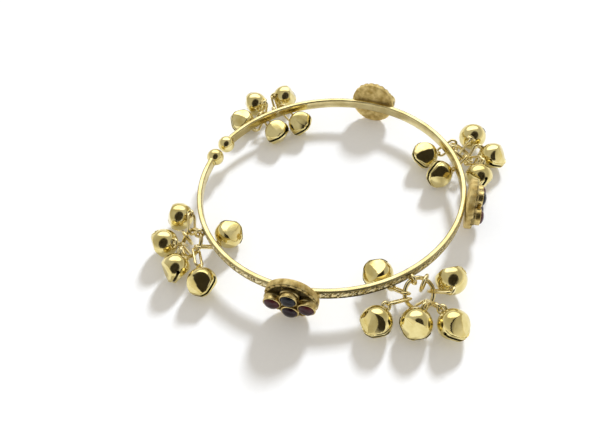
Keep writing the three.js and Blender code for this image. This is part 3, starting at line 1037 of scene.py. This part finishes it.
def hangBell(out, along, hang, fold, turn):  # places of the link, shank and shell, seen from the hanger
    tilt, at, bendTurn = math.radians(wireWork["tilt"]), math.radians(hang), math.radians(fold)
    slope, side = Vector((math.cos(tilt), 0, -math.sin(tilt))), Vector((0, 1, 0))
    hook = Vector((wireWork["hangerOut"], 0, -wireWork["hangerDrop"]))
    hook += slope * ringRadius * (1 + math.cos(at)) + side * ringRadius * math.sin(at)
    wireAlong = side * math.cos(at) - slope * math.sin(at)
    span = Vector((out * bellSize, along * bellSize, bellHeight)) - hook
    reach = min(span.length, linkReach + neckReach)
    span.normalize()
    straight = (reach ** 2 + linkReach ** 2 - neckReach ** 2) / (2 * reach)
    sag = math.sqrt(max(0, linkReach ** 2 - straight ** 2))
    level = up.cross(span).normalized()
    bend = span.cross(level) * math.cos(bendTurn) + level * math.sin(bendTurn)
    elbow = hook + span * straight + bend * sag
    centre = hook + span * reach
    linkWay, bellUp = (elbow - hook).normalized(), (elbow - centre).normalized()
    normal = across(wireAlong, linkWay)
    width = normal.cross(linkWay)
    linkAt = basis(linkWay, width, normal, hook + linkWay * (linkReach - behindRing) / 2)
    pin = across(width, bellUp)
    shankAt = basis(bellUp, pin.cross(bellUp), pin, centre + bellUp * (bellSize / 2 + wireWork["shankOut"]))
    lips = Matrix.Rotation(math.radians(turn), 3, bellUp) @ up.cross(bellUp).normalized()
    shellAt = basis(lips, bellUp.cross(lips), bellUp, centre)
    return linkAt, shankAt, shellAt, Matrix.Translation(centre - up * pelletShape["drop"])


for name, (angle, bells) in clusters.items():
    station = stationAt(angle, hoop["outer"])
    hanger = copyOf(hangerPattern, f"hanger_{name}")
    place(hanger, station)
    dress(hanger, wireGold, "hoop", "polished_gold")
    ring = copyOf(ringPattern, f"ring_{name}_wire")
    ringAt = (station @ Matrix.Translation((wireWork["hangerOut"], 0, -wireWork["hangerDrop"]))
              @ turnY(wireWork["tilt"]) @ Matrix.Translation((ringRadius, 0, 0)))
    place(ring, ringAt)
    dress(ring, wireGold, f"ring_{name}", "polished_gold", f"ring_{name}")
    for number, (turn, slope) in enumerate(jumpRing["places"][name]):
        jump = copyOf(jumpPattern, f"ring_{name}_jump_{number + 1}")
        lean = Matrix.Rotation(math.radians(slope), 4, "X")
        place(jump, ringAt @ turnZ(turn) @ Matrix.Translation((ringRadius - jumpRing["inset"], 0, 0)) @ lean)
        dress(jump, wireGold, f"ring_{name}", "polished_gold")
    for index, values in enumerate(bells):
        key = f"{name}{index + 1}"
        linkAt, shankAt, shellAt, pelletAt = hangBell(*values)
        for pattern, word, at, look, nodes in (
                (bellPattern, "shell", shellAt, polishedGold, [f"bell_{key}"]),
                (shankPattern, "shank", shankAt, wireGold, []),
                (linkPattern, "link", linkAt, wireGold, [])):
            piece = copyOf(pattern, f"bell_{key}_{word}")
            place(piece, station @ at)
            dress(piece, look, f"bell_{key}", "polished_gold", *nodes)
        pellet = copyOf(pelletPattern, f"pellet_{key}_shot")
        place(pellet, station @ pelletAt)
        dress(pellet, steelShot, f"pellet_{key}", "steel_shot", f"pellet_{key}")
drop(hangerPattern, ringPattern, jumpPattern, linkPattern, shankPattern)
drop(bellPattern, pelletPattern, leafPattern, beadPattern)
print("clusters made")


# camera, floor and light

view = {"eye": (24.08, -90.49, 101.65), "right": (0.9611, 0.2642, -0.0808), "up": (-0.1493, 0.7429, 0.6525),
        "focal": 566, "wide": 600, "sensor": 36, "near": 0.005}
camera = bpy.data.objects.new("camera", bpy.data.cameras.new("camera"))
bpy.context.scene.collection.objects.link(camera)
camera.data.sensor_width = view["sensor"]
camera.data.lens = view["sensor"] * view["focal"] / view["wide"]
camera.data.clip_start = view["near"]
viewRight = Vector(view["right"]).normalized()
viewBack = viewRight.cross(Vector(view["up"])).normalized()
camera.matrix_world = basis(viewRight, viewBack.cross(viewRight), viewBack, Vector(view["eye"]) * mm)
bpy.context.scene.camera = camera

studio = {"floor": 8, "floorTone": rgb(236, 236, 236), "floorFleck": rgb(238, 238, 238), "floorGlow": 0.12,
          "floorGrain": 900, "floorRough": 0.9, "floorSheen": 0.1,
          "world": 0.57, "horizon": (0.06, 0.36), "fill": (1, 0.958, 0.885, 1),
          "sunWay": (0.126, 0.814, 0.566), "sunWide": 10, "sunPower": 3.4, "sunTone": (0.87, 0.92, 1)}


def seenShare(tree):  # rays that come straight, mirrored or through glass to the eye
    path = node(tree, "LightPath").outputs
    return maths(tree, "ADD", maths(tree, "ADD", path["Is Camera Ray"], path["Is Glossy Ray"]),
                 path["Is Transmission Ray"], True)


def makeFloor():
    clearPick()
    bpy.ops.mesh.primitive_plane_add(size=studio["floor"])
    floor = bpy.context.object
    floor.name = "floor"
    look, tree, shader = newLook("floorPaper")
    grain = noiseOf(tree, node(tree, "TexCoord").outputs["Object"], studio["floorGrain"], 3)
    flecks = spread(tree, grain, 0.3, 0.7, 0, 1)
    wire(tree, mixColour(tree, flecks, studio["floorTone"], studio["floorFleck"]), shader["Base Color"])
    shader["Roughness"].default_value = studio["floorRough"]
    shader["Specular IOR Level"].default_value = studio["floorSheen"]
    shader["Emission Color"].default_value = studio["fill"]
    wire(tree, maths(tree, "MULTIPLY", seenShare(tree), studio["floorGlow"]), shader["Emission Strength"])
    floor.data.materials.append(look)


def makeWorld():  # pale at the horizon, where it meets the floor, and dimmer overhead
    world = bpy.data.worlds.new("studioWorld")
    bpy.context.scene.world = world
    world.use_nodes = True
    tree = world.node_tree
    background = tree.nodes["Background"].inputs
    background["Color"].default_value = studio["fill"]
    rise = node(tree, "SeparateXYZ")
    wire(tree, node(tree, "TexCoord").outputs["Generated"], rise.inputs[0])
    strength = spread(tree, rise.outputs["Z"], *studio["horizon"], 1, studio["world"])
    wire(tree, strength, background["Strength"])


makeFloor()
makeWorld()

lamp = bpy.data.objects.new("windowLight", bpy.data.lights.new("windowLight", "SUN"))
bpy.context.scene.collection.objects.link(lamp)
lamp.data.angle = math.radians(studio["sunWide"])
lamp.data.energy = studio["sunPower"]
lamp.data.color = studio["sunTone"]
lamp.visible_glossy = False  # the metal mirrors the window board instead
lamp.rotation_mode = "QUATERNION"
lamp.rotation_quaternion = (-Vector(studio["sunWay"])).to_track_quat("-Z", "Y")

# boards seen only as reflections: a bright window behind the bangle and a dark cloth on the camera's side
boards = [
    {"at": (-0.08, 0.36, 0.4), "wide": 0.96, "high": 0.56, "roll": 6,
     "tone": rgb(250, 250, 246), "glow": 1.35},
    {"at": (0.1, -0.21, 0.274), "wide": 0.6, "high": 0.82, "roll": -35,
     "tone": rgb(40, 33, 24), "glow": 0},
]
boardCloth = {"rough": 0.9, "fadeFrom": 0.42, "fadeTo": 0.58, "folds": 5, "ragged": 0.2}  # uneven at its edge


def makeBoard(number, values):
    clearPick()
    bpy.ops.mesh.primitive_plane_add(size=1)
    board = bpy.context.object
    board.name = f"board_{number}"
    at = Vector(values["at"])
    turned = at.to_track_quat("Z", "Y").to_matrix().to_4x4() @ turnZ(values["roll"])
    stretch = Matrix.Diagonal((values["wide"], values["high"], 1, 1))
    board.matrix_world = Matrix.Translation(at) @ turned @ stretch
    look, tree, shader = newLook(f"boardCloth_{number}")
    shader["Base Color"].default_value = values["tone"]
    shader["Roughness"].default_value = boardCloth["rough"]
    shader["Emission Color"].default_value = values["tone"]
    shader["Emission Strength"].default_value = values["glow"]
    reach = node(tree, "VectorMath", operation="LENGTH")
    onBoard = node(tree, "TexCoord").outputs["Object"]
    wire(tree, onBoard, reach.inputs[0])
    ragged = maths(tree, "MULTIPLY", noiseOf(tree, onBoard, boardCloth["folds"], 2), boardCloth["ragged"])
    edge = maths(tree, "ADD", reach.outputs["Value"], ragged)
    wire(tree, spread(tree, edge, boardCloth["fadeFrom"], boardCloth["fadeTo"], 1, 0), shader["Alpha"])
    board.data.materials.append(look)
    board.visible_camera = False
    board.visible_shadow = False
    board.visible_diffuse = False


for index, values in enumerate(boards):
    makeBoard(index + 1, values)

bpy.context.scene.view_settings.view_transform = "Standard"
